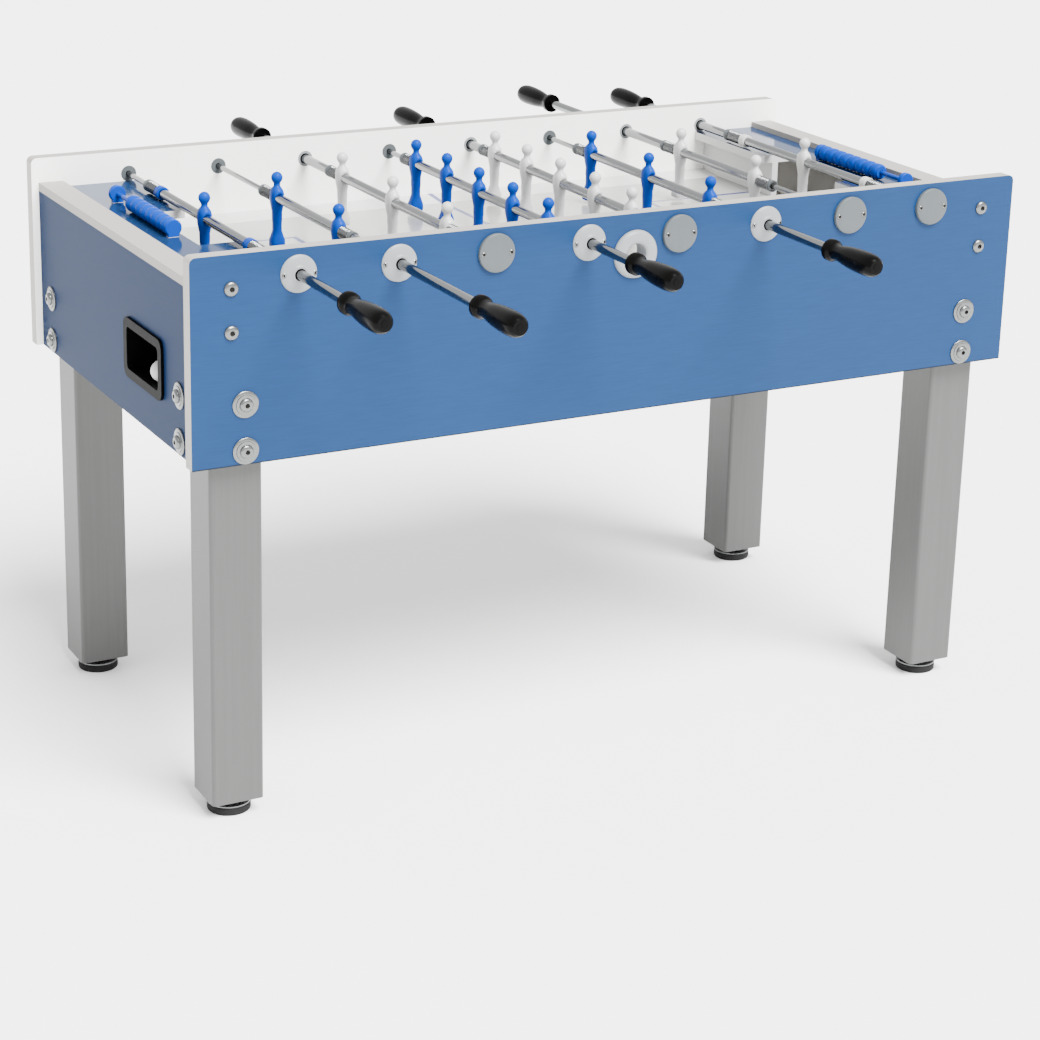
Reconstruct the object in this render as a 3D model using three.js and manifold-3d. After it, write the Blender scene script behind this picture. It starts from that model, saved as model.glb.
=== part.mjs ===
// Foosball table: a laminated cabinet on four square metal legs, with eight playing rods that slide and turn.
// Millimetres, +Z up. The origin is on the floor under the middle of the table. X runs along the table and
// Y across it. The near team stands at -Y and plays towards +X, and the far team's half is the near team's
// turned half round about Z. Each rod is a tube that slides on a guide bar, and the guide bar turns in a
// cap on the opposite side panel.
import * as THREE from "three";
import { mergeVertices } from "three/addons/utils/BufferGeometryUtils.js";
import Module from "manifold-3d";

const wasm = await Module();
wasm.setup();

// ---- driving dimensions ----
const LENGTH = 1500; // of the side panels
const WIDTH = 760; // over the side panels' outer faces
const TOP = 922; // top edge of the side panels above the floor
const CABINET_BOTTOM = 595;
const PANEL = 25; // board thickness of the sides and ends
const PANEL_CORNER = 10; // rounded upper corners of the side panels
const GAP = 0.3; // between pieces that touch

const END_INSET = 12; // the side panels run past the end panels by this much
const END_TOP = 880;
const END_CAP_WIDTH = 43;
const END_CAP_HEIGHT = 14;

const FIELD_TOP = 792;
const FIELD_BOARD = 12;
const FIELD_HALF_LENGTH = 600;
const STRIP_START = 300; // a sloping strip runs from here out to each side panel
const STRIP_RISE = 5;

const DECK_TOP = 870;
const DECK_BOARD = 14;
const DECK_EDGE = 566.5; // from the table's middle
const NOTCH_BACK = 632; // the deck is cut back to here behind each goalkeeper
const GOAL_FRONT = 588;
const GOAL_BOARD = 12;
const GOAL_HALF = 116; // half the goal mouth, and half the notch in the deck

const ROD_PITCH = 165;
const ROD_HEIGHT = 882.5;
const TUBE_R = 8;
const TUBE_BORE_R = 5.2;
const TUBE_IN_HANDLE = 96;
const GUIDE_R = 4.5;
const GUIDE_INNER_END = -60; // the guide's free end, past the table's middle
const SOCKET_R = 5.2;
const STOP_CLEAR = 3; // from a spring to the side panel, with the rod fully across
const SLEEVE_HOLE_R = 14; // hole in the side panel for a bearing or a cap
const SLEEVE_R = SLEEVE_HOLE_R - 2 * GAP;
const ROUND = 16; // sides of a tube or a hole

const LEG = 86;
const LEG_WALL = 3;
const LEG_CORNER = 6;
const LEG_TOP = 745;
const LEG_BOTTOM = 27;
const LEG_PLATE = 5;
const FOOT_R = 35;
const STEM_R = 6; // the foot's thread
const STEM_TOP = 70;

// The ball's way in, through the near side panel, and its way out, through each end panel.
const ENTRY = { x: 2, z: 856, hole: 24, bore: 18, rim: 39.5, dome: 8 };
const OUTLET = {
  y0: -236.5, y1: -69.5, z0: 660, z1: 758,
  rim: 10, proud: 5, wall: 4, corner: 16, openingCorner: 12,
};
const CHUTE = { fall: 16, backWall: 12, overlap: 6 }; // the slope from under the goal to the tray

// `spacing` is between a rod's men, `travel` is each way from the middle of the table, and `grip` is from
// the middle of a rod's men to its handle.
const FORMATION = {
  1: { spacing: 0, travel: 95, grip: 556 },
  2: { spacing: 250, travel: 169, grip: 614 },
  3: { spacing: 203, travel: 96, grip: 559 },
  5: { spacing: 122, travel: 60, grip: 520 },
};
// The rods from left to right. Side -1 is the near team, and `rest` is where the middle of a rod's men
// stands, in Y.
const RODS = [
  { name: "near_goalkeeper", side: -1, men: 1, rest: 0 },
  { name: "near_defence", side: -1, men: 2, rest: -32 },
  { name: "far_attack", side: 1, men: 3, rest: -8 },
  { name: "near_midfield", side: -1, men: 5, rest: 0 },
  { name: "far_midfield", side: 1, men: 5, rest: 15 },
  { name: "near_attack", side: -1, men: 3, rest: -5 },
  { name: "far_defence", side: 1, men: 2, rest: 32 },
  { name: "far_goalkeeper", side: 1, men: 1, rest: 0 },
];
const rodX = (index) => (index - (RODS.length - 1) / 2) * ROD_PITCH;

// ---- finishes ----
const finish = (color, roughness, metalness = 0) =>
  new THREE.MeshStandardMaterial({ color, roughness, metalness });
const FINISH = {
  laminate: () => finish(0x547fb0, 0.4),
  deck: () => finish(0x5880af, 0.15),
  field: () => finish(0xc8c8c4, 0.25),
  white: () => finish(0xe1dfd7, 0.4),
  cap: () => finish(0xb9bec0, 0.45),
  steel: () => finish(0xa5a8a6, 0.4, 0.6),
  chrome: () => finish(0xd8d8d8, 0.15, 1),
  grip: () => finish(0x1e1c1a, 0.3),
  rubber: () => finish(0x161616, 0.8),
  nearTeam: () => finish(0x0069e1, 0.35),
  farTeam: () => finish(0xe1e1e1, 0.35),
  tray: () => finish(0x141414, 0.5),
};

// ---- shape helpers ----
function solid(geometry) {
  const bare = geometry.index ? geometry.toNonIndexed() : geometry.clone();
  bare.deleteAttribute("normal");
  bare.deleteAttribute("uv");
  const merged = mergeVertices(bare, 1e-3);
  return new wasm.Manifold(
    new wasm.Mesh({
      numProp: 3,
      vertProperties: merged.attributes.position.array,
      triVerts: new Uint32Array(merged.index.array),
    }),
  );
}

function geometryOf(made) {
  const mesh = made.getMesh();
  const geometry = new THREE.BufferGeometry();
  geometry.setAttribute("position", new THREE.BufferAttribute(mesh.vertProperties, 3));
  geometry.setIndex(new THREE.BufferAttribute(mesh.triVerts, 1));
  geometry.computeVertexNormals();
  return geometry;
}

const join = (first, ...rest) => rest.reduce((sum, g) => sum.add(solid(g)), solid(first));
const cut = (body, ...tools) => tools.reduce((left, g) => left.subtract(solid(g)), body);

function box(x0, x1, y0, y1, z0, z1) {
  const block = new THREE.BoxGeometry(x1 - x0, y1 - y0, z1 - z0);
  return block.translate((x0 + x1) / 2, (y0 + y1) / 2, (z0 + z1) / 2);
}

function outline(points) {
  return new THREE.Shape(points.map(([a, b]) => new THREE.Vector2(a, b)));
}

function roundedRectangle(x0, x1, y0, y1, r, lowerR = r) {
  const shape = new THREE.Shape();
  shape.moveTo(x0 + lowerR, y0);
  shape.lineTo(x1 - lowerR, y0);
  if (lowerR) shape.absarc(x1 - lowerR, y0 + lowerR, lowerR, -Math.PI / 2, 0);
  shape.lineTo(x1, y1 - r);
  shape.absarc(x1 - r, y1 - r, r, 0, Math.PI / 2);
  shape.lineTo(x0 + r, y1);
  shape.absarc(x0 + r, y1 - r, r, Math.PI / 2, Math.PI);
  shape.lineTo(x0, y0 + lowerR);
  if (lowerR) shape.absarc(x0 + lowerR, y0 + lowerR, lowerR, Math.PI, 1.5 * Math.PI);
  return shape;
}

const extrude = (shape, depth, curveSegments = 4) =>
  new THREE.ExtrudeGeometry(shape, { depth, bevelEnabled: false, curveSegments });

// A shape drawn in (x, z), given depth towards +Y from y.
function standingAlongX(shape, y, depth) {
  return extrude(shape, depth).rotateX(Math.PI / 2).translate(0, y + depth, 0);
}

// A shape drawn in (y, z), given depth towards +X from x.
const YZ_TO_X = new THREE.Matrix4().makeBasis(
  new THREE.Vector3(0, 1, 0),
  new THREE.Vector3(0, 0, 1),
  new THREE.Vector3(1, 0, 0),
);
function standingAlongY(shape, x, depth) {
  return extrude(shape, depth).applyMatrix4(YZ_TO_X).translate(x, 0, 0);
}

// A round bar along Y between two distances, at (x, z).
function barY(r, from, to, x = 0, z = 0, sides = ROUND) {
  const bar = new THREE.CylinderGeometry(r, r, Math.abs(to - from), sides);
  return bar.translate(x, (from + to) / 2, z);
}

// A profile of [radius, y] turned about Y. Its outer side runs towards +Y.
function turnedY(profile, sides = ROUND) {
  return new THREE.LatheGeometry(profile.map(([r, y]) => new THREE.Vector2(r, y)), sides);
}

function named(name, geometry, material) {
  const mesh = new THREE.Mesh(geometry, material);
  mesh.name = name;
  return mesh;
}

// ---- cabinet ----
const FACE_Y = WIDTH / 2;
const INNER_Y = FACE_Y - PANEL;
const FIT_Y = INNER_Y - GAP; // of what stands between the side panels
const END_OUTER = -LENGTH / 2 + END_INSET;
const END_INNER = END_OUTER + PANEL;

// The near side panel, with a round hole for every rod. Only one panel has the ball's way in.
function sidePanel(hasEntry) {
  const sheet = roundedRectangle(
    -LENGTH / 2, LENGTH / 2, CABINET_BOTTOM, TOP, PANEL_CORNER, 0);
  const board = solid(standingAlongX(sheet, -FACE_Y, PANEL));
  const hole = (r, x, z, sides) => barY(r, -FACE_Y - 1, -INNER_Y + 1, x, z, sides);
  const holes = RODS.map((rod, index) => hole(SLEEVE_HOLE_R, rodX(index), ROD_HEIGHT));
  if (hasEntry) holes.push(hole(ENTRY.hole, ENTRY.x, ENTRY.z, 24));
  return geometryOf(cut(board, ...holes));
}

// The ring where the ball is put in: a domed flange outside, and a sleeve through the board.
function entryRing() {
  const face = -FACE_Y - GAP;
  const sleeve = ENTRY.hole - 2 * GAP;
  const ring = turnedY([
    [ENTRY.bore, face - ENTRY.dome + 4],
    [ENTRY.bore + 9, face - ENTRY.dome],
    [ENTRY.rim - 5, face - ENTRY.dome + 1],
    [ENTRY.rim, face - 2],
    [ENTRY.rim, face],
    [sleeve, face],
    [sleeve, face + PANEL],
    [ENTRY.bore, face + PANEL],
    [ENTRY.bore, face - ENTRY.dome + 4],
  ], 24);
  return ring.translate(ENTRY.x, 0, ENTRY.z);
}

// The left end: an upright board with a wide cap along its top edge, and the opening for the ball's way out.
function endPanel() {
  const board = box(END_OUTER, END_INNER, -FIT_Y, FIT_Y, CABINET_BOTTOM, END_TOP - 1);
  const cap = box(END_OUTER, END_OUTER + END_CAP_WIDTH, -FIT_Y, FIT_Y,
    END_TOP - END_CAP_HEIGHT, END_TOP);
  const { y0, y1, z0, z1, rim, openingCorner } = OUTLET;
  const opening = roundedRectangle(y0 + rim, y1 - rim, z0 + rim, z1 - rim, openingCorner);
  return geometryOf(cut(join(board, cap), standingAlongY(opening, END_OUTER - 1, PANEL + 2)));
}

// ---- scorer on each deck: a run of ribbed counters on a bar between two blocks ----
const SCORER = { x: -650, y0: -54, y1: 214, r: 14, bar: 4, block: 10, blockHalf: 9 };
const SCORER_Z = DECK_TOP + SCORER.r + 0.6;
const COUNTER = { count: 13, pitch: 14, groove: 2.5 };

function counters() {
  const { x, y0, r, bar, block } = SCORER;
  const start = y0 + block + GAP;
  const end = start + COUNTER.count * COUNTER.pitch;
  const bore = bar + 0.6;
  const ribs = [];
  for (let i = 0; i < COUNTER.count; i += 1) {
    const y = start + i * COUNTER.pitch;
    ribs.push([r - COUNTER.groove, y], [r, y + 3], [r, y + COUNTER.pitch - 3]);
  }
  const loop = [[bore, start], ...ribs, [r - COUNTER.groove, end], [bore, end], [bore, start]];
  return turnedY(loop, 10).translate(x, 0, SCORER_Z);
}

// The flat deck over the left goal, with its scorer's bar, and the two cheeks beside the goal mouth.
function endDeck() {
  const back = END_OUTER + END_CAP_WIDTH + GAP;
  const plan = outline([
    [back, -FIT_Y], [-DECK_EDGE, -FIT_Y], [-DECK_EDGE, -GOAL_HALF], [-NOTCH_BACK, -GOAL_HALF],
    [-NOTCH_BACK, GOAL_HALF], [-DECK_EDGE, GOAL_HALF], [-DECK_EDGE, FIT_Y], [back, FIT_Y],
  ]);
  const board = extrude(plan, DECK_BOARD).translate(0, 0, DECK_TOP - DECK_BOARD);
  const cheek = (side) => {
    const face = outline([
      [side * FIT_Y, FIELD_TOP + STRIP_RISE + GAP],
      [side * STRIP_START, FIELD_TOP + GAP],
      [side * GOAL_HALF, FIELD_TOP + GAP],
      [side * GOAL_HALF, DECK_TOP - 1],
      [side * FIT_Y, DECK_TOP - 1],
    ]);
    return standingAlongY(face, -GOAL_FRONT - GOAL_BOARD, GOAL_BOARD);
  };
  const { x, y0, y1, bar, block, blockHalf } = SCORER;
  const stand = (y) =>
    box(x - blockHalf, x + blockHalf, y, y + block, DECK_TOP - 1, SCORER_Z + blockHalf);
  const rail = barY(bar, y0 + 1, y1 - 1, x, SCORER_Z, 10);
  return geometryOf(join(board, cheek(-1), cheek(1), stand(y0), stand(y1 - block), rail));
}

// The playing field, with its two sloping side strips in one board.
function playfield() {
  const section = outline([
    [-FIT_Y, FIELD_TOP - FIELD_BOARD],
    [FIT_Y, FIELD_TOP - FIELD_BOARD],
    [FIT_Y, FIELD_TOP + STRIP_RISE],
    [STRIP_START, FIELD_TOP],
    [-STRIP_START, FIELD_TOP],
    [-FIT_Y, FIELD_TOP + STRIP_RISE],
  ]);
  return standingAlongY(section, -FIELD_HALF_LENGTH, 2 * FIELD_HALF_LENGTH);
}

// The ball return of the left end: a rimmed frame on the end panel, an open tray behind it, and a chute
// with a back wall that slopes down to it from under the goal.
function ballReturn() {
  const { y0, y1, z0, z1, rim, proud, wall, corner, openingCorner } = OUTLET;
  const { fall, backWall, overlap } = CHUTE;
  const x0 = END_INNER + GAP;
  const x1 = -FIELD_HALF_LENGTH - 2;
  const inset = (by, r) => roundedRectangle(y0 + by, y1 - by, z0 + by, z1 - by, r);
  const sleeve = rim + 2 * GAP;
  const low = y1 - sleeve - overlap;
  const high = GOAL_HALF + overlap;
  const lip = z1 - sleeve;
  const slope = (depth, rise) => outline([
    [low, lip - depth],
    [high, lip + fall - depth],
    [high, lip + fall + rise],
    [low, lip + rise],
  ]);
  const body = join(
    standingAlongY(inset(0, corner), END_OUTER - proud, proud - GAP),
    standingAlongY(inset(sleeve, openingCorner - 1), END_OUTER - proud + 1, x1 - END_OUTER + proud - 1),
    standingAlongY(slope(wall, 0), x0, x1 - x0),
    standingAlongY(slope(wall, backWall), x1 - wall, wall),
  );
  const hollow = standingAlongY(inset(sleeve + wall, openingCorner - wall), END_OUTER - 2 * proud,
    x1 - wall - END_OUTER + 2 * proud);
  const past = 5 * wall; // the tray's open top is cut this far past its lip, both ways
  const drop = box(x0 + wall, x1 - wall, y0 + sleeve + wall, y1 - sleeve - wall, lip - past, lip + past);
  return geometryOf(cut(body, hollow, drop));
}

// ---- legs ----
// A square steel tube with an end plate, and a hole in the plate for the foot's thread.
function leg() {
  const section = roundedRectangle(0, LEG, 0, LEG, LEG_CORNER);
  const shell = solid(extrude(section, LEG_TOP - LEG_BOTTOM, 3).translate(0, 0, LEG_BOTTOM));
  const inside = box(LEG_WALL, LEG - LEG_WALL, LEG_WALL, LEG - LEG_WALL,
    LEG_BOTTOM + LEG_PLATE, LEG_TOP + 1);
  const holeR = STEM_R + 1;
  const hole = new THREE.CylinderGeometry(holeR, holeR, 4 * LEG_PLATE, 12).rotateX(Math.PI / 2);
  return geometryOf(cut(shell, inside, hole.translate(LEG / 2, LEG / 2, LEG_BOTTOM)));
}

// A levelling foot: a rubber pad, a cupped rim, a nut, and a threaded stem into the leg.
function foot() {
  const nutTop = LEG_BOTTOM - GAP;
  const profile = [
    [0, 0], [FOOT_R, 0], [FOOT_R, 14], [FOOT_R - 3, 18], [13, 20], [11, nutTop],
    [STEM_R, nutTop], [STEM_R, STEM_TOP], [0, STEM_TOP],
  ];
  return turnedY(profile, 18).rotateX(Math.PI / 2);
}

// ---- rods, each in its own frame: the axis along Y, the handle towards -Y and the men facing +X ----
const MAN = {
  depth: 20, // front to back
  head: 10, headZ: 33.5,
  neck: 5.5, neckLength: 16, neckZ: 20,
  foot: 12, footTop: -64, bottom: -84,
};
// Half of a man's front outline from the neck to the foot, as [half width along the rod, height over it].
const MAN_HALF = [
  [6, 18], [13, 14], [15, 7], [14, -8], [10, -24], [11.5, -38], [10, -56], [10, MAN.bottom + 1],
];
const COLLAR = { at: 195, r: 11.5, half: 8 };
const SPRING_R = 10.5;
const CAP = { r: 31, edge: 1.5, thick: 6, socketFloor: 3 };
const BEARING = { r: 29.5, edge: 3, hub: 13, thick: 9 };

// A man on the rod at y: a body cut to its front outline, with a foot, a neck and a head.
function man(y) {
  const left = MAN_HALF.map(([a, z]) => [-a, z]);
  const front = outline([...left, ...MAN_HALF.slice().reverse()]);
  const neck = new THREE.CylinderGeometry(MAN.neck, MAN.neck, MAN.neckLength, 8).rotateX(Math.PI / 2);
  const head = new THREE.SphereGeometry(MAN.head, 8, 6).rotateX(Math.PI / 2);
  return [
    standingAlongY(front, -MAN.depth / 2, MAN.depth),
    box(-MAN.foot, MAN.foot, -MAN.foot, MAN.foot, MAN.bottom, MAN.footTop),
    neck.translate(0, 0, MAN.neckZ),
    head.translate(0, 0, MAN.headZ),
  ].map((g) => g.translate(0, y, 0));
}

// The tube with its men, and a spring at each end that meets the side panel.
function playingRod({ side, men, rest }) {
  const { spacing, travel, grip } = FORMATION[men];
  const middle = -side * rest;
  const stop = INNER_Y - STOP_CLEAR - travel;
  const tubeStart = middle - grip - TUBE_IN_HANDLE;
  const outermost = ((men - 1) / 2) * spacing;
  const shapes = [barY(TUBE_R, tubeStart, middle + stop)];
  for (let i = 0; i < men; i += 1) shapes.push(...man(middle + i * spacing - outermost));
  for (const way of [-1, 1]) {
    const from = men === 1 ? COLLAR.at : outermost;
    shapes.push(barY(SPRING_R, middle + way * from, middle + way * stop));
    if (men > 1) continue;
    shapes.push(barY(COLLAR.r,
      middle + way * COLLAR.at - COLLAR.half, middle + way * COLLAR.at + COLLAR.half));
  }
  return geometryOf(cut(join(...shapes), barY(TUBE_BORE_R, tubeStart - 1, middle + stop + 1)));
}

// The bar that the tube slides on.
function guideBar() {
  return barY(GUIDE_R, GUIDE_INNER_END, FACE_Y - CAP.socketFloor - 1);
}

// The blind cap on the panel opposite the handle: a flat disc, and a sleeve that holds the guide bar's end.
function blindCap() {
  const face = FACE_Y + GAP;
  const floor = FACE_Y - CAP.socketFloor;
  return turnedY([
    [0, floor], [SOCKET_R, floor], [SOCKET_R, INNER_Y], [SLEEVE_R, INNER_Y],
    [SLEEVE_R, face], [CAP.r, face], [CAP.r, face + CAP.thick - 1],
    [CAP.r - CAP.edge, face + CAP.thick], [0, face + CAP.thick],
  ]);
}

// The bearing on the handle's side: a domed flange, and a sleeve that the tube slides and turns in.
function bearing() {
  const face = -FACE_Y - GAP;
  const bore = TUBE_R + 0.5;
  return turnedY([
    [bore, face - BEARING.thick], [BEARING.hub, face - BEARING.thick],
    [BEARING.r, face - BEARING.edge], [BEARING.r, face],
    [SLEEVE_R, face], [SLEEVE_R, face + PANEL], [bore, face + PANEL], [bore, face - BEARING.thick],
  ]);
}

// A turned grip with a collar, a waist and a full round end, from its open end towards -Y.
const HANDLE_LENGTH = 126;
function handle({ side, men, rest }) {
  const start = -side * rest - FORMATION[men].grip;
  const bore = TUBE_R + 0.4;
  const bottom = TUBE_IN_HANDLE + 2;
  const profile = [
    [0, bottom], [bore, bottom], [bore, 0], [17.5, 0], [17.5, 11], [12.5, 18], [12.5, 26], [15.5, 46],
    [18, 72], [18.5, 100], [16.5, 118], [12, HANDLE_LENGTH], [0, HANDLE_LENGTH],
  ];
  return turnedY(profile.map(([r, along]) => [r, start - along]).reverse());
}

// ---- assembly ----
const group = new THREE.Group();

// One long side and one end of the table. The far side and right end are these turned half round.
const HALVES = [
  { across: "near", along: "left", turn: 0 },
  { across: "far", along: "right", turn: Math.PI },
];
for (const { across, along, turn } of HALVES) {
  const half = new THREE.Group();
  half.rotation.z = turn;
  half.add(
    named(`side_panel_${across}`, sidePanel(across === "near"), FINISH.laminate()),
    named(`end_panel_${along}`, endPanel(), FINISH.laminate()),
    named(`end_deck_${along}`, endDeck(), FINISH.deck()),
    named(`ball_return_${along}`, ballReturn(), FINISH.tray()),
    named(`score_counters_${along}`, counters(), FINISH.nearTeam()),
  );
  group.add(half);
}
group.add(
  named("playfield", playfield(), FINISH.field()),
  named("ball_entry_ring", entryRing(), FINISH.white()),
);

for (const across of ["near", "far"]) {
  for (const along of ["left", "right"]) {
    const corner = new THREE.Group();
    corner.position.x = along === "left" ? END_INNER + GAP : -END_INNER - GAP - LEG;
    corner.position.y = across === "near" ? -FIT_Y : FIT_Y - LEG;
    const pad = named(`foot_${across}_${along}`, foot(), FINISH.rubber());
    pad.position.set(LEG / 2, LEG / 2, 0);
    corner.add(named(`leg_${across}_${along}`, leg(), FINISH.steel()), pad);
    group.add(corner);
  }
}

RODS.forEach((rod, index) => {
  const axis = new THREE.Group();
  axis.position.set(rodX(index), 0, ROD_HEIGHT);
  axis.rotation.z = rod.side < 0 ? 0 : Math.PI;
  const team = rod.side < 0 ? FINISH.nearTeam() : FINISH.farTeam();
  axis.add(
    named(`rod_${rod.name}`, playingRod(rod), team),
    named(`handle_${rod.name}`, handle(rod), FINISH.grip()),
    named(`guide_${rod.name}`, guideBar(), FINISH.chrome()),
    named(`bearing_${rod.name}`, bearing(), FINISH.white()),
    named(`blind_cap_${rod.name}`, blindCap(), FINISH.cap()),
  );
  group.add(axis);
});

export default group;
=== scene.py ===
"""Looks of the foosball table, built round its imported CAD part.

Lengths are in metres unless a name ends in _MM. Profiles and sections are in millimetres.
"""

import math

import bmesh
import bpy
from mathutils import Matrix, Vector


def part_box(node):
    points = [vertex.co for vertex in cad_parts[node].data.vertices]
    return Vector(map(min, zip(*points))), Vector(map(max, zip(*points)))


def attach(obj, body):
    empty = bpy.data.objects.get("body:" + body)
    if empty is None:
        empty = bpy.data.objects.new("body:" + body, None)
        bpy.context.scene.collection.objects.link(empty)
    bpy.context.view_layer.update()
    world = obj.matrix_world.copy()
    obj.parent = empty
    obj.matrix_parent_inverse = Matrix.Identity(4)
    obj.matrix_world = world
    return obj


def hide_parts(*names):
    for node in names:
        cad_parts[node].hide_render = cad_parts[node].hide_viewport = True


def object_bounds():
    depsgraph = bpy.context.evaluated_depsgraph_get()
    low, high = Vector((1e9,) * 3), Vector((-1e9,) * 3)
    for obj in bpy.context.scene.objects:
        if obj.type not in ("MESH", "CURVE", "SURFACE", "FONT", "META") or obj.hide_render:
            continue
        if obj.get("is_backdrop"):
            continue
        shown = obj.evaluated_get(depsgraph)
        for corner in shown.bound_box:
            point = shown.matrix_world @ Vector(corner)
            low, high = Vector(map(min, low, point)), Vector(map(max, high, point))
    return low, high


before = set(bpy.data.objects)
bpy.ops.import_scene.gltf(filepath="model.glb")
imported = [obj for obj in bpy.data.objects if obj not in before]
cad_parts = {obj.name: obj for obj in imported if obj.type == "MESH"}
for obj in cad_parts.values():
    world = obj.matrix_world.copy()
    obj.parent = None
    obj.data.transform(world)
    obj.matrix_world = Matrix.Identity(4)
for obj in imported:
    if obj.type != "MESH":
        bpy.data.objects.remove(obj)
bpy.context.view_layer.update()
MM = 0.001

# ---- camera: a fitted position and aim ----
CAMERA_AT = (-2.0633, -3.8251, 1.8670)
CAMERA_AZIMUTH, CAMERA_DOWN, CAMERA_ROLL = 28.418, 17.307, 1.434
CAMERA_LENS_MM = 90.104
CAMERA_SHIFT_Y = -0.1202

# ---- the playing rods, in the CAD part's order: side -1 is the near team ----
FORMATION_MM = {1: (0, 95), 2: (250, 169), 3: (203, 96), 5: (122, 60)}  # spacing, travel each way
RODS = [
    ("near_goalkeeper", -1, 1, 0), ("near_defence", -1, 2, -32),
    ("far_attack", 1, 3, -8), ("near_midfield", -1, 5, 0),
    ("far_midfield", 1, 5, 15), ("near_attack", -1, 3, -5),
    ("far_defence", 1, 2, 32), ("far_goalkeeper", 1, 1, 0),
]
FACE_MM, INNER_MM, STOP_CLEAR_MM = 380, 355, 3
COLLAR_AT_MM = 195

AXES = {
    "X": (Vector((1, 0, 0)), Vector((0, 1, 0)), Vector((0, 0, 1))),
    "Y": (Vector((0, 1, 0)), Vector((0, 0, 1)), Vector((1, 0, 0))),
    "Z": (Vector((0, 0, 1)), Vector((1, 0, 0)), Vector((0, 1, 0))),
}


# ---- materials ----
# The studio is this many times brighter than normal, so that its floor is pale.
# Every finish is as much darker.
LIGHT_LEVEL = 3.5
ROUGHNESS_SWING = 0.05  # either way of a finish's roughness
RELIEF_DEPTH, COAT_ROUGHNESS = 0.0005, 0.06


def linear(rgb):
    level = (c / 255 / 12.92 if c <= 10 else ((c / 255 + 0.055) / 1.055) ** 2.4 for c in rgb)
    return tuple(c / LIGHT_LEVEL for c in level) + (1.0,)


def surface(name, rgb, rough, metal=0.0, coat=0.0, grain=(60, 60, 60), spread=0.06, bump=0.03,
            specular=0.25):
    """A Principled material whose colour, roughness and height vary with stretched noise."""
    m = bpy.data.materials.new(name)
    m.use_nodes = True
    nodes, links = m.node_tree.nodes, m.node_tree.links
    bsdf = nodes["Principled BSDF"]
    bsdf.inputs["Metallic"].default_value = metal
    bsdf.inputs["Coat Weight"].default_value = coat
    bsdf.inputs["Coat Roughness"].default_value = COAT_ROUGHNESS
    bsdf.inputs["Specular IOR Level"].default_value = specular
    coord, mapping = nodes.new("ShaderNodeTexCoord"), nodes.new("ShaderNodeMapping")
    noise, ramp = nodes.new("ShaderNodeTexNoise"), nodes.new("ShaderNodeValToRGB")
    mapping.inputs["Scale"].default_value = grain
    noise.inputs["Scale"].default_value = 1.0
    noise.inputs["Detail"].default_value = 5.0
    base = linear(rgb)
    ramp.color_ramp.elements[0].position, ramp.color_ramp.elements[1].position = 0.3, 0.7
    for element, k in zip(ramp.color_ramp.elements, (1 - spread, 1 + spread)):
        element.color = tuple(min(1.0, c * k) for c in base[:3]) + (1.0,)
    links.new(coord.outputs["Object"], mapping.inputs["Vector"])
    links.new(mapping.outputs["Vector"], noise.inputs["Vector"])
    links.new(noise.outputs["Fac"], ramp.inputs["Fac"])
    links.new(ramp.outputs["Color"], bsdf.inputs["Base Color"])
    spreader = nodes.new("ShaderNodeMapRange")
    spreader.inputs["To Min"].default_value = max(0.02, rough - ROUGHNESS_SWING)
    spreader.inputs["To Max"].default_value = min(1.0, rough + ROUGHNESS_SWING)
    links.new(noise.outputs["Fac"], spreader.inputs["Value"])
    links.new(spreader.outputs["Result"], bsdf.inputs["Roughness"])
    relief = nodes.new("ShaderNodeBump")
    relief.inputs["Strength"].default_value = bump
    relief.inputs["Distance"].default_value = RELIEF_DEPTH
    links.new(noise.outputs["Fac"], relief.inputs["Height"])
    links.new(relief.outputs["Normal"], bsdf.inputs["Normal"])
    return m


class Mask:
    """Builds a 0-to-1 mask from the object's own position and normal, and paints with it."""

    def __init__(self, material):
        self.nodes, self.links = material.node_tree.nodes, material.node_tree.links
        coord = next(n for n in self.nodes if n.type == "TEX_COORD")
        place, facing = self.nodes.new("ShaderNodeSeparateXYZ"), self.nodes.new("ShaderNodeSeparateXYZ")
        self.links.new(coord.outputs["Object"], place.inputs[0])
        self.links.new(coord.outputs["Normal"], facing.inputs[0])
        self.x, self.y, self.z = place.outputs
        self.nx, self.ny, self.nz = facing.outputs

    def do(self, operation, *values):
        n = self.nodes.new("ShaderNodeMath")
        n.operation = operation
        for socket, value in zip(n.inputs, values):
            if isinstance(value, (int, float)):
                socket.default_value = value
            else:
                self.links.new(value, socket)
        return n.outputs[0]

    def over(self, value, limit):
        return self.do("GREATER_THAN", value, limit)

    def both(self, a, b):
        return self.do("MULTIPLY", a, b)

    def without(self, mask):
        return self.do("SUBTRACT", 1.0, mask)

    def square_to(self, normal):
        return self.over(self.do("ABSOLUTE", normal), 0.85)

    def line(self, distance, half_width):
        return self.do("LESS_THAN", self.do("ABSOLUTE", distance), half_width)

    def paint(self, fac, rgb):
        socket = self.nodes["Principled BSDF"].inputs["Base Color"]
        mix = self.nodes.new("ShaderNodeMix")
        mix.data_type = "RGBA"
        self.links.new(fac, mix.inputs[0])
        self.links.new(socket.links[0].from_socket, mix.inputs[6])
        mix.inputs[7].default_value = linear(rgb)
        self.links.new(mix.outputs[2], socket)


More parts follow.
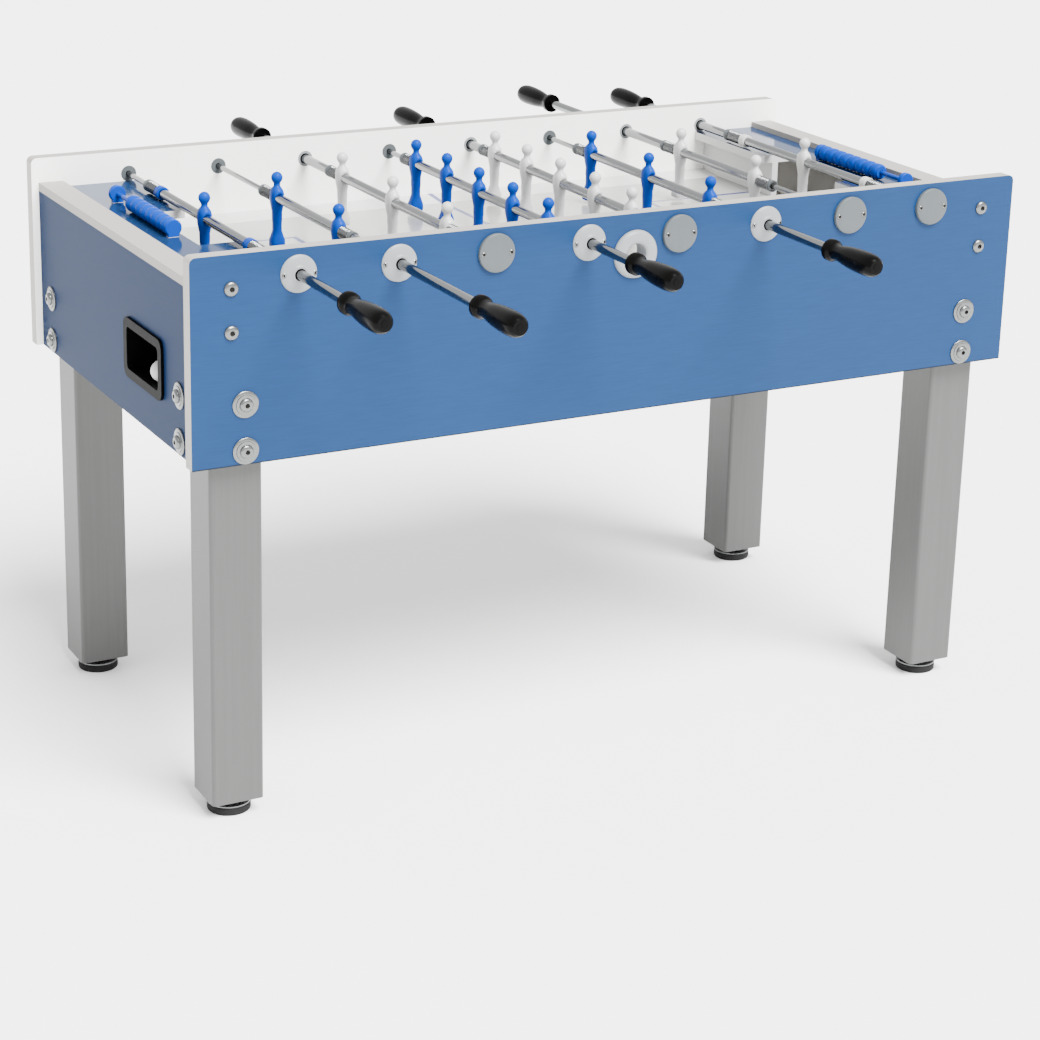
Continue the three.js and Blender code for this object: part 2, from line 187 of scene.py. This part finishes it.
# The end panels' blue is the laminate darkened as painted shade.
BLUE, END_SHADE_BLUE, DECK_BLUE = (36, 86, 147), (34, 66, 114), (44, 82, 136)
EDGING, INNER_WHITE, LINE_BLUE = (256, 252, 244), (320, 320, 318), (0, 50, 170)
INNER_WALL, PAINTED_FOOT_SHADOW = (430, 428, 422), (30, 44, 66)
SIDE_OUTER, END_OUTER = 0.37, 0.73  # only the panels' outside faces are further out than this
PAINTED_FOOT_SHADOW_Z, CAP_FOOT_Z, ABOVE_DECK_Z, ABOVE_FIELD_Z = 0.5968, 0.866, 0.8705, 0.791
NEAR_BLUE, FAR_WHITE, COUNTER_BLUE = (0, 98, 240), (312, 312, 310), (0, 100, 250)

# Side panels: laminate outside, white inside, pale edging round the rim, and a painted shadow along the
# bottom of the outside.
side_look = surface("side_laminate", BLUE, 0.38, grain=(22, 60, 520), spread=0.08, bump=0.08,
                    specular=0.12)
k = Mask(side_look)
flat, far_out = k.square_to(k.ny), k.over(k.do("ABSOLUTE", k.y), SIDE_OUTER)
outside = k.both(flat, far_out)
k.paint(k.without(outside), EDGING)
k.paint(k.both(flat, k.without(far_out)), INNER_WALL)
# painted shadow: a dark band along the bottom edge of the outside faces
k.paint(k.both(outside, k.do("LESS_THAN", k.z, PAINTED_FOOT_SHADOW_Z)), PAINTED_FOOT_SHADOW)

# End panels: the laminate darkened outside as painted shade, with a pale cap along the top.
end_look = surface("end_laminate_shaded", END_SHADE_BLUE, 0.45, grain=(60, 22, 520), spread=0.12, bump=0.10,
                   specular=0.03)
k = Mask(end_look)
outside = k.both(k.square_to(k.nx), k.over(k.do("ABSOLUTE", k.x), END_OUTER))
outside = k.both(outside, k.without(k.over(k.z, CAP_FOOT_Z)))
k.paint(k.without(outside), EDGING)

# Decks: glossy top, white cheeks below it, and the scorer's stands and rail above it.
deck_look = surface("deck_gloss", DECK_BLUE, 0.12, coat=0.04, grain=(120, 9, 60), spread=0.04, bump=0.004,
                    specular=0.12)
k = Mask(deck_look)
k.paint(k.without(k.over(k.nz, 0.7)), INNER_WHITE)
k.paint(k.over(k.z, ABOVE_DECK_Z), COUNTER_BLUE)

# Field: pale, with the pitch's lines and two whiter side strips.
LINE_HALF, BOX_FRONT, BOX_HALF, CIRCLE = 0.0048, 0.351, 0.163, 0.100
FIELD_END, STRIP_START, ARC = 0.600, 0.300, 0.070
field_look = surface("field_gloss", (250, 250, 246), 0.22, coat=0.3, grain=(20, 20, 20),
                     spread=0.015, bump=0.01)
k = Mask(field_look)
ax, ay = k.do("ABSOLUTE", k.x), k.do("ABSOLUTE", k.y)
k.paint(k.over(ay, STRIP_START), INNER_WHITE)


def span(a, b):
    """Distance from (0, 0) in the (a, b) plane."""
    return k.do("SQRT", k.do("ADD", k.do("MULTIPLY", a, a), k.do("MULTIPLY", b, b)))


from_box = k.do("ABSOLUTE", k.do("SUBTRACT", ax, (BOX_FRONT + FIELD_END) / 2))
box_x = k.do("SUBTRACT", from_box, (FIELD_END - BOX_FRONT) / 2)
from_spot = span(k.do("SUBTRACT", ax, BOX_FRONT), k.y)
marks = [
    k.line(k.do("MAXIMUM", box_x, k.do("SUBTRACT", ay, BOX_HALF)), LINE_HALF),
    k.line(k.x, LINE_HALF),
    k.line(k.do("SUBTRACT", span(k.x, k.y), CIRCLE), LINE_HALF),
    k.both(k.line(k.do("SUBTRACT", from_spot, ARC), LINE_HALF), k.do("LESS_THAN", ax, BOX_FRONT)),
]
total = marks[0]
for mark in marks[1:]:
    total = k.do("MAXIMUM", total, mark)
k.paint(k.both(total, k.over(k.z, ABOVE_FIELD_Z)), LINE_BLUE)

chrome = surface("chrome", (222, 224, 226), 0.13, metal=1.0, grain=(200, 8, 200), spread=0.05, bump=0.01)
k = Mask(chrome)
painted_under_shade = chrome.node_tree.nodes.new("ShaderNodeMapRange")  # painted shade underneath: a faint darkening of the chrome's undersides, a painted reflection of the dark space below
for socket, value in (("From Min", 0.35), ("From Max", -0.15), ("To Min", 0.0), ("To Max", 0.2)):
    painted_under_shade.inputs[socket].default_value = value
chrome.node_tree.links.new(k.nz, painted_under_shade.inputs["Value"])
# painted shade: the dark tone mixed into the chrome wherever it faces down
k.paint(painted_under_shade.outputs["Result"], (72, 82, 86))
leg_look = surface("leg_satin", (138, 139, 137), 0.42, metal=0.35, grain=(160, 160, 4),
                   spread=0.05, bump=0.05)
bolt_look = surface("bolt_zinc", (190, 192, 192), 0.28, metal=0.9, grain=(300, 300, 300), spread=0.08)
recess_shade_look = surface("bolt_recess_shade", (52, 48, 44), 0.5, metal=0.6, grain=(300, 300, 300))
flange_look = surface("flange_white", (214, 219, 222), 0.35, grain=(80, 80, 80), spread=0.02)
cap_look = surface("cap_grey", (130, 138, 142), 0.42, grain=(80, 80, 80), spread=0.03)
dark_look = surface("bush_black", (11, 11, 11), 0.5, grain=(150, 150, 150), specular=0.05)
grip_look = surface("grip_black", (14, 13, 12), 0.24, grain=(40, 40, 40), spread=0.10, specular=0.05)
rubber_look = surface("foot_rubber", (22, 22, 22), 0.75, grain=(250, 250, 250), spread=0.12, bump=0.10)
tray_look = surface("tray_black", (9, 9, 10), 0.5, grain=(220, 220, 220), spread=0.15, bump=0.08,
                    specular=0.03)
near_look = surface("near_team", NEAR_BLUE, 0.30, grain=(90, 90, 90), spread=0.04, specular=0.05)
far_look = surface("far_team", FAR_WHITE, 0.34, coat=0.2, grain=(90, 90, 90), spread=0.02)
counter_look = surface("counter_blue", COUNTER_BLUE, 0.26, grain=(90, 90, 90), spread=0.04,
                       specular=0.03)
ball_look = surface("ball_white", (310, 310, 308), 0.4, grain=(90, 90, 90), spread=0.02, bump=0.06)


# ---- shape builders ----
def finish_mesh(name, bm, material, sharp=math.radians(38)):
    bmesh.ops.recalc_face_normals(bm, faces=bm.faces)
    for face in bm.faces:
        face.smooth = True
    for edge in bm.edges:
        edge.smooth = len(edge.link_faces) != 2 or edge.calc_face_angle(0.0) < sharp
    mesh = bpy.data.meshes.new(name)
    bm.to_mesh(mesh)
    bm.free()
    mesh.materials.append(material)
    made = bpy.data.objects.new(name, mesh)
    bpy.context.collection.objects.link(made)
    return made


def skin(name, rings, material, loop=False, sharp=math.radians(38)):
    """A surface through rings of points. A loop joins its last ring to its first."""
    bm = bmesh.new()
    rows = [[bm.verts.new(p) for p in ring] for ring in rings]
    count = len(rows[0])
    for a, b in zip(rows, rows[1:] + ([rows[0]] if loop else [])):
        for i in range(count):
            j = (i + 1) % count
            bm.faces.new((a[i], a[j], b[j], b[i]))
    if not loop:
        bm.faces.new(rows[0])
        bm.faces.new(rows[-1])
    return finish_mesh(name, bm, material, sharp)


def turned(name, profile, centre, axis, way, material, sides=40, loop=False):
    """A profile of (radius, distance) in millimetres, turned about an axis and running the given way."""
    a, u, v = AXES[axis]
    rings = [[Vector(centre) + a * (way * along * MM)
              + (u * math.cos(t) + v * math.sin(t)) * (max(r, 0.02) * MM)
              for t in (2 * math.pi * i / sides for i in range(sides))] for r, along in profile]
    return skin(name, rings, material, loop)


def eased(points, steps=4):
    """A smooth profile through the given points."""
    out = []
    ends = [points[0]] + points + [points[-1]]
    for p0, p1, p2, p3 in zip(ends, ends[1:], ends[2:], ends[3:]):
        for s in range(steps):
            t = s / steps
            out.append(tuple(0.5 * (2 * b + (c - a) * t + (2 * a - 5 * b + 4 * c - d) * t * t
                                    + (3 * b - a - 3 * c + d) * t ** 3)
                             for a, b, c, d in zip(p0, p1, p2, p3)))
    return out + [points[-1]]


def coil(name, centre, y0, y1, radius, wire, pitch, material):
    """A wound spring along Y between two distances."""
    turns = abs(y1 - y0) / pitch
    steps = int(turns * 16)
    rings = []
    for s in range(steps + 1):
        angle = 2 * math.pi * turns * s / steps
        out = Vector((math.cos(angle), 0, math.sin(angle)))
        middle = Vector(centre) + out * (radius * MM) + Vector((0, (y0 + (y1 - y0) * s / steps) * MM, 0))
        rings.append([middle + (out * math.cos(t) + Vector((0, 1, 0)) * math.sin(t)) * (wire * MM)
                      for t in (2 * math.pi * i / 6 for i in range(6))])
    return skin(name, rings, material, sharp=math.pi)


def on(body, piece, *stands_for, slot=None):
    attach(piece, body)
    if stands_for:
        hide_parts(*stands_for)
    return piece


def socket_screw(name, centre, axis, way, r, height, recess, washer=0):
    """A domed head with a recess whose dark floor is painted shade, on a stepped washer if one is given.
    """
    if washer:
        steps = [(washer, 0), (washer, 1.8), (washer - 1, 2.6), (washer - 5, 2.8), (washer - 5.6, 4.2),
                 (r, 4.6), (0, 4.6)]
        on("table", turned(name + "_washer", steps, centre, axis, way, bolt_look, 36))
    base = 4.0 if washer else 0.0
    dome = eased([(r, base), (r * 0.96, base + height * 0.45), (r * 0.75, base + height * 0.85),
                  (recess, base + height)], 3)
    dome += [(recess, base + height * 0.35), (0, base + height * 0.35)]
    on("table", turned(name, dome, centre, axis, way, bolt_look, 28))
    # painted shade: a dark disc at the bottom of the recess, for the shadow inside the socket
    key_hole = [(recess * 0.94, base + height * 0.2), (recess * 0.94, base + height * 0.45),
                (0, base + height * 0.42)]
    on("table", turned(name + "_recess", key_hole, centre, axis, way, recess_shade_look, 6))


# ---- CAD nodes that stay: materials, and a small rounding of their edges ----
def dress(node, material, bevel=0.0):
    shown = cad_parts[node]
    shown.data.materials.clear()
    shown.data.materials.append(material)
    if bevel:
        rounding = shown.modifiers.new("edges", "BEVEL")
        rounding.width, rounding.segments = bevel, 2
        rounding.limit_method, rounding.angle_limit = "ANGLE", math.radians(35)
        rounding.harden_normals = False


for across in ("near", "far"):
    dress(f"side_panel_{across}", side_look, 0.0015)
for along in ("left", "right"):
    dress(f"end_panel_{along}", end_look, 0.0012)
    dress(f"end_deck_{along}", deck_look, 0.0006)
    dress(f"ball_return_{along}", tray_look, 0.0015)
dress("playfield", field_look)
for across in ("near", "far"):
    for along in ("left", "right"):
        dress(f"leg_{across}_{along}", leg_look)

# ---- feet ----
PAD = eased([(32, 0), (34.5, 1.5), (35, 6), (34.5, 12), (32, 13.5)]) + [(0, 13.5)]
CUP = [(34, 13.5), (35, 14.2), (34.6, 16), (30, 17), (14, 20), (0, 20)]
NUT = [(12, 19.5), (12.5, 20.5), (12.5, 26), (11, 26.8), (0, 26.8)]
for across in ("near", "far"):
    for along in ("left", "right"):
        low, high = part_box(f"foot_{across}_{along}")
        at = ((low.x + high.x) / 2, (low.y + high.y) / 2, 0)
        key = f"{across}_{along}"
        pad = turned(f"pad_{key}", PAD, at, "Z", 1, rubber_look)
        on("table", pad, f"foot_{key}", slot="foot")
        on("table", turned(f"cup_{key}", CUP, at, "Z", 1, bolt_look))
        on("table", turned(f"nut_{key}", NUT, at, "Z", 1, bolt_look, 6))

# ---- the ball's way in ----
low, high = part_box("ball_entry_ring")
ring_at = ((low.x + high.x) / 2, -FACE_MM * MM, (low.z + high.z) / 2)
ring_profile = eased([(18, 5), (21, 7.5), (27, 8.3), (34, 7.4), (38.5, 4), (39.5, 0.6)], 4)
on("table", turned("entry_ring", ring_profile + [(23.4, 0.4), (23.4, -25), (18, -25)], ring_at, "Y", -1,
                   flange_look, 56, loop=True), "ball_entry_ring", slot="flange")

# ---- scorers ----
COUNTERS, COUNTER_MM = 8, 22.75
SCORER_ENDS_MM = (-10.3, 247.7)  # where the rail's round ends start, from the start of the counters
SCORER_END = [(0, 0.2), (12.6, 0.2), (14, 1.6), (14, 9.0), (12.8, 10.1), (0, 10.1)]
for along, way in (("left", 1), ("right", -1)):
    low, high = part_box(f"score_counters_{along}")
    at = ((low.x + high.x) / 2, low.y if way > 0 else high.y, (low.z + high.z) / 2)
    ribs = []
    for i in range(COUNTERS):
        y = i * COUNTER_MM
        ribs += [(10.8, y), (11.0, y + 1.6), (13.2, y + 3.6), (13.9, y + 7), (13.9, y + COUNTER_MM - 7),
                 (13.2, y + COUNTER_MM - 3.6), (11.0, y + COUNTER_MM - 1.6)]
    ribs += [(10.8, COUNTERS * COUNTER_MM), (4.6, COUNTERS * COUNTER_MM), (4.6, 0)]
    run = turned(f"counters_run_{along}", ribs, at, "Y", way, counter_look, 40, loop=True)
    on(f"counters_{along}", run, f"score_counters_{along}", slot="counter")
    for n, start in enumerate(SCORER_ENDS_MM):
        end_at = Vector(at) + Vector((0, way * start * MM, 0))
        on("table", turned(f"scorer_end_{along}_{n}", SCORER_END, end_at, "Y", way, counter_look, 40))


# ---- rods ----
# A man's level sections from sole to crown: height, half depth, half width and roundness.
MAN_SECTIONS = [
    (-84, 11.0, 11.2, 4), (-82.5, 12.0, 12.0, 4), (-72, 12.0, 11.8, 4), (-64, 9.5, 10.6, 3),
    (-56, 7.2, 9.6, 2.6), (-44, 7.2, 10.4, 2.4), (-36, 7.8, 11.2, 2.4), (-24, 8.2, 10.2, 2.4),
    (-14, 10.2, 11.8, 2.4), (-7, 11.0, 13.8, 2.6), (0, 11.2, 14.6, 2.6), (7, 10.8, 14.9, 2.6),
    (13, 9.4, 13.4, 2.4), (17, 7.2, 9.4, 2.2), (20, 5.4, 6.0, 2), (24.5, 5.6, 5.6, 2), (27, 7.6, 7.4, 2),
    (31, 9.6, 9.2, 2), (35, 9.9, 9.5, 2), (39, 8.4, 8.1, 2), (42, 5.4, 5.2, 2), (43.4, 2.0, 2.0, 2),
]


def rounded_ring(z, half_x, half_y, power, sides=20):
    ring = []
    for i in range(sides):
        t = 2 * math.pi * (i + 0.5) / sides
        c, s = math.cos(t), math.sin(t)
        ring.append(Vector((math.copysign(abs(c) ** (2 / power), c) * half_x * MM,
                            math.copysign(abs(s) ** (2 / power), s) * half_y * MM, z * MM)))
    return ring


men_meshes = {}


def man(name, side, at):
    look = near_look if side < 0 else far_look
    if side in men_meshes:
        made = bpy.data.objects.new(name, men_meshes[side])
        bpy.context.collection.objects.link(made)
    else:
        rings = [rounded_ring(*section) for section in MAN_SECTIONS]
        made = skin(name, rings, look, sharp=math.radians(60))
        bore = turned(f"{name}_bore", [(7.9, -20), (7.9, 20)], (0, 0, 0), "Y", 1, look, 40)
        cutting = made.modifiers.new("bore", "BOOLEAN")
        cutting.operation, cutting.solver, cutting.object = "DIFFERENCE", "EXACT", bore
        bpy.context.view_layer.update()
        bored = bpy.data.meshes.new_from_object(made.evaluated_get(bpy.context.evaluated_depsgraph_get()))
        made.modifiers.clear()
        made.data = men_meshes[side] = bored
        bpy.data.objects.remove(bore)
    made.matrix_world = Matrix.Translation(at) @ Matrix.Rotation(0 if side < 0 else math.pi, 4, "Z")
    return made


HANDLE_PROFILE = [
    (16.8, 0), (17.6, 1.0), (17.6, 10), (16.4, 11.8), (13.4, 15), (12.5, 20), (12.9, 28), (14.6, 40),
    (16.6, 55), (18.0, 74), (18.6, 94), (18.0, 109), (15.8, 119), (11.5, 125),
]
GRIP = [(8.3, 0)] + HANDLE_PROFILE[:4] + eased(HANDLE_PROFILE[4:], 4) + [(0, 125.6)]
GRIP_PLUG = [(6, 124.5), (6, 125.9), (0, 126)]
COLLAR = [(8, -8), (10.6, -8), (11.4, -7), (11.4, 7), (10.6, 8), (8, 8)]
COLLAR_HALF_MM, BUMPER_MM, SPRING_FROM_MAN_MM = 8, 8, 14.5
SPRING = (9.3, 0.9, 4.2)  # radius, wire's radius and pitch
BUMPER = [(8, 0), (10, 0), (10.5, 0.8), (10.5, 7.2), (10, 8), (8, 8)]
FLANGE = [(9.6, 9), (12.6, 9), (13.6, 8.2)] + eased([(15, 7.4), (21, 5.6), (27, 3.2), (29.3, 1.4)], 3)
FLANGE += [(29.5, 0.3), (13.4, 0.3), (13.4, -25), (9.6, -25)]
BUSH = [(8.5, 8.4), (9.5, 8.4), (9.5, -24), (8.5, -24)]
BLIND_CAP = [
    (0, -3), (5.2, -3), (5.2, -25), (13.4, -25), (13.4, 0.3), (31, 0.3), (31, 4.6), (30.4, 5.7),
    (29.4, 6.2), (20, 6.3), (0, 6.3),
]
FACE_SCREW_AT_MM, FACE_SCREW_R, FACE_SCREW_RECESS = 24, 4.2, 2.7
FLANGE_SCREW_OUT_MM, CAP_SCREW_OUT_MM = 4.0, 6.2

for name, side, men, rest in RODS:
    spacing, travel = FORMATION_MM[men]
    body, team = f"rod_{name}", (near_look if side < 0 else far_look)
    low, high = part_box(f"guide_{name}")
    axis_at = Vector(((low.x + high.x) / 2, 0, (low.z + high.z) / 2))
    place = lambda y: axis_at + Vector((0, y * MM, 0))
    low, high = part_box(f"rod_{name}")
    length = (high.y - low.y) / MM
    wall = [(5.2, 0), (7.6, 0), (8, 0.5), (8, length - 0.5), (7.6, length), (5.2, length)]
    tube_at = Vector((axis_at.x, low.y, axis_at.z))
    tube = turned(f"tube_{name}", wall, tube_at, "Y", 1, chrome, 40, loop=True)
    on(body, tube, f"rod_{name}", slot="guide")
    outermost = (men - 1) / 2 * spacing
    for i in range(men):
        on(body, man(f"man_{name}_{i + 1}", side, place(rest + i * spacing - outermost)),
           slot="near_team" if side < 0 else "far_team")
    stop = INNER_MM - STOP_CLEAR_MM - travel
    for way in (-1, 1):
        key = f"{name}_{'near' if way < 0 else 'far'}"
        start = COLLAR_AT_MM + COLLAR_HALF_MM if men == 1 else outermost + SPRING_FROM_MAN_MM
        if men == 1:
            collar_at = place(rest + way * COLLAR_AT_MM)
            on(body, turned(f"collar_{key}", COLLAR, collar_at, "Y", 1, team, 36, loop=True))
        end = stop - BUMPER_MM
        on(body, coil(f"spring_{key}", place(rest), way * start, way * end, *SPRING, chrome))
        bumper_at = place(rest + way * end)
        on(body, turned(f"bumper_{key}", BUMPER, bumper_at, "Y", way, cap_look, 32, loop=True))
    # The handle, its end plug, and the guide bar.
    low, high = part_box(f"handle_{name}")
    start = Vector((axis_at.x, high.y if side < 0 else low.y, axis_at.z))
    grip = turned(f"grip_{name}", GRIP, start, "Y", side, grip_look, 44)
    on(body, grip, f"handle_{name}", slot="grip")
    on(body, turned(f"plug_{name}", GRIP_PLUG, start, "Y", side, dark_look, 28))
    dress(f"guide_{name}", chrome)
    # The bearing on the handle's side, and the blind cap on the other.
    face, cap_face = place(side * FACE_MM), place(-side * FACE_MM)
    flange = turned(f"flange_{name}", FLANGE, face, "Y", side, flange_look, 48, loop=True)
    on("table", flange, f"bearing_{name}", slot="flange")
    on("table", turned(f"bush_{name}", BUSH, face, "Y", side, dark_look, 36, loop=True))
    cap = turned(f"cap_{name}", BLIND_CAP, cap_face, "Y", -side, cap_look, 48)
    on("table", cap, f"blind_cap_{name}", slot="cap")
    for sx in (-1, 1):
        shift = Vector((sx * FACE_SCREW_AT_MM * MM, 0, 0))
        tag = f"{name}_{'a' if sx < 0 else 'b'}"
        on_flange = face + shift + Vector((0, side * FLANGE_SCREW_OUT_MM * MM, 0))
        on_cap = cap_face + shift + Vector((0, -side * CAP_SCREW_OUT_MM * MM, 0))
        socket_screw(f"flange_screw_{tag}", on_flange, "Y", side, FACE_SCREW_R, 1.6, FACE_SCREW_RECESS)
        socket_screw(f"cap_screw_{tag}", on_cap, "Y", -side, FACE_SCREW_R, 1.4, FACE_SCREW_RECESS)

# ---- screws and leg bolts on the cabinet ----
SCREW_X, SCREW_HEIGHTS = 0.685, (0.870, 0.803)
BOLT_X, BOLT_Y, BOLT_HEIGHTS = 0.664, 0.301, (0.690, 0.617)
END_FACE = 0.738
PANEL_SCREW, LEG_BOLT, LEG_WASHER = (11.5, 5, 4.2), (11, 5.5, 3.8), 21  # radius, height and recess
for sy in (-1, 1):
    for sx in (-1, 1):
        tag = f"{'near' if sy < 0 else 'far'}_{'left' if sx < 0 else 'right'}"
        side_y = sy * FACE_MM * MM
        for n, z in enumerate(SCREW_HEIGHTS):
            socket_screw(f"panel_screw_{tag}_{n}", (sx * SCREW_X, side_y, z), "Y", sy, *PANEL_SCREW)
        for n, z in enumerate(BOLT_HEIGHTS):
            on_side, on_end = (sx * BOLT_X, side_y, z), (sx * END_FACE, sy * BOLT_Y, z)
            socket_screw(f"side_bolt_{tag}_{n}", on_side, "Y", sy, *LEG_BOLT, washer=LEG_WASHER)
            socket_screw(f"end_bolt_{tag}_{n}", on_end, "X", sx, *LEG_BOLT, washer=LEG_WASHER)

# ---- the ball waiting in the left ball return ----
BALL_R, BALL_IN, BALL_Y, BALL_REST_Z = 17.5, 0.023, -0.178, 0.6752
low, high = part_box("ball_return_left")
arc = [(BALL_R * math.sin(math.pi * i / 24), -BALL_R * math.cos(math.pi * i / 24)) for i in range(25)]
ball_at = (low.x + BALL_IN, BALL_Y, BALL_REST_Z + BALL_R * MM)
on("table", turned("ball", arc, ball_at, "Z", 1, ball_look, 40))

# ---- floor, light and camera ----
SUN_FROM, SUN_SPREAD, SUN_STRENGTH, SKY_STRENGTH = (0.9, -3.0, 4.3), 35, 4.3, 0.48
FLOOR_TONES = (0.97, 0.98)

bm = bmesh.new()
bmesh.ops.create_grid(bm, x_segments=2, y_segments=2, size=40)
floor_look = surface("floor_white", (250, 250, 250), 0.7, grain=(1, 1, 1), spread=0.0, bump=0.0)
floor = finish_mesh("floor", bm, floor_look)
ramp = next(n for n in floor_look.node_tree.nodes if n.type == "VALTORGB").color_ramp
for element, tone in zip(ramp.elements, FLOOR_TONES):  # not darkened like the finishes
    element.color = (tone, tone, tone, 1.0)
floor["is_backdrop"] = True

world = bpy.data.worlds.new("studio")
bpy.context.scene.world = world
world.use_nodes = True
world.node_tree.nodes["Background"].inputs["Color"].default_value = (1, 1, 1, 1)
world.node_tree.nodes["Background"].inputs["Strength"].default_value = SKY_STRENGTH * LIGHT_LEVEL
sun = bpy.data.lights.new("sun", "SUN")
sun.angle, sun.energy = math.radians(SUN_SPREAD), SUN_STRENGTH * LIGHT_LEVEL
sun_lamp = bpy.data.objects.new("sun", sun)
bpy.context.collection.objects.link(sun_lamp)
sun_lamp.rotation_mode = "QUATERNION"
sun_lamp.rotation_quaternion = (-Vector(SUN_FROM)).to_track_quat("-Z", "Y")

lens = bpy.data.cameras.new("camera")
camera = bpy.data.objects.new("camera", lens)
bpy.context.collection.objects.link(camera)
bpy.context.scene.camera = camera
lens.lens, lens.sensor_width, lens.shift_y = CAMERA_LENS_MM, 36.0, CAMERA_SHIFT_Y
lens.clip_start, lens.clip_end = 0.1, 200
a, e, r = map(math.radians, (CAMERA_AZIMUTH, CAMERA_DOWN, CAMERA_ROLL))
forward = Vector((math.sin(a) * math.cos(e), math.cos(a) * math.cos(e), -math.sin(e)))
level = Vector((math.cos(a), -math.sin(a), 0))
upright = level.cross(forward)
right = level * math.cos(r) + upright * math.sin(r)
up = upright * math.cos(r) - level * math.sin(r)
camera.matrix_world = Matrix.Translation(CAMERA_AT) @ Matrix((right, up, -forward)).transposed().to_4x4()

bpy.context.view_layer.update()
low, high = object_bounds()
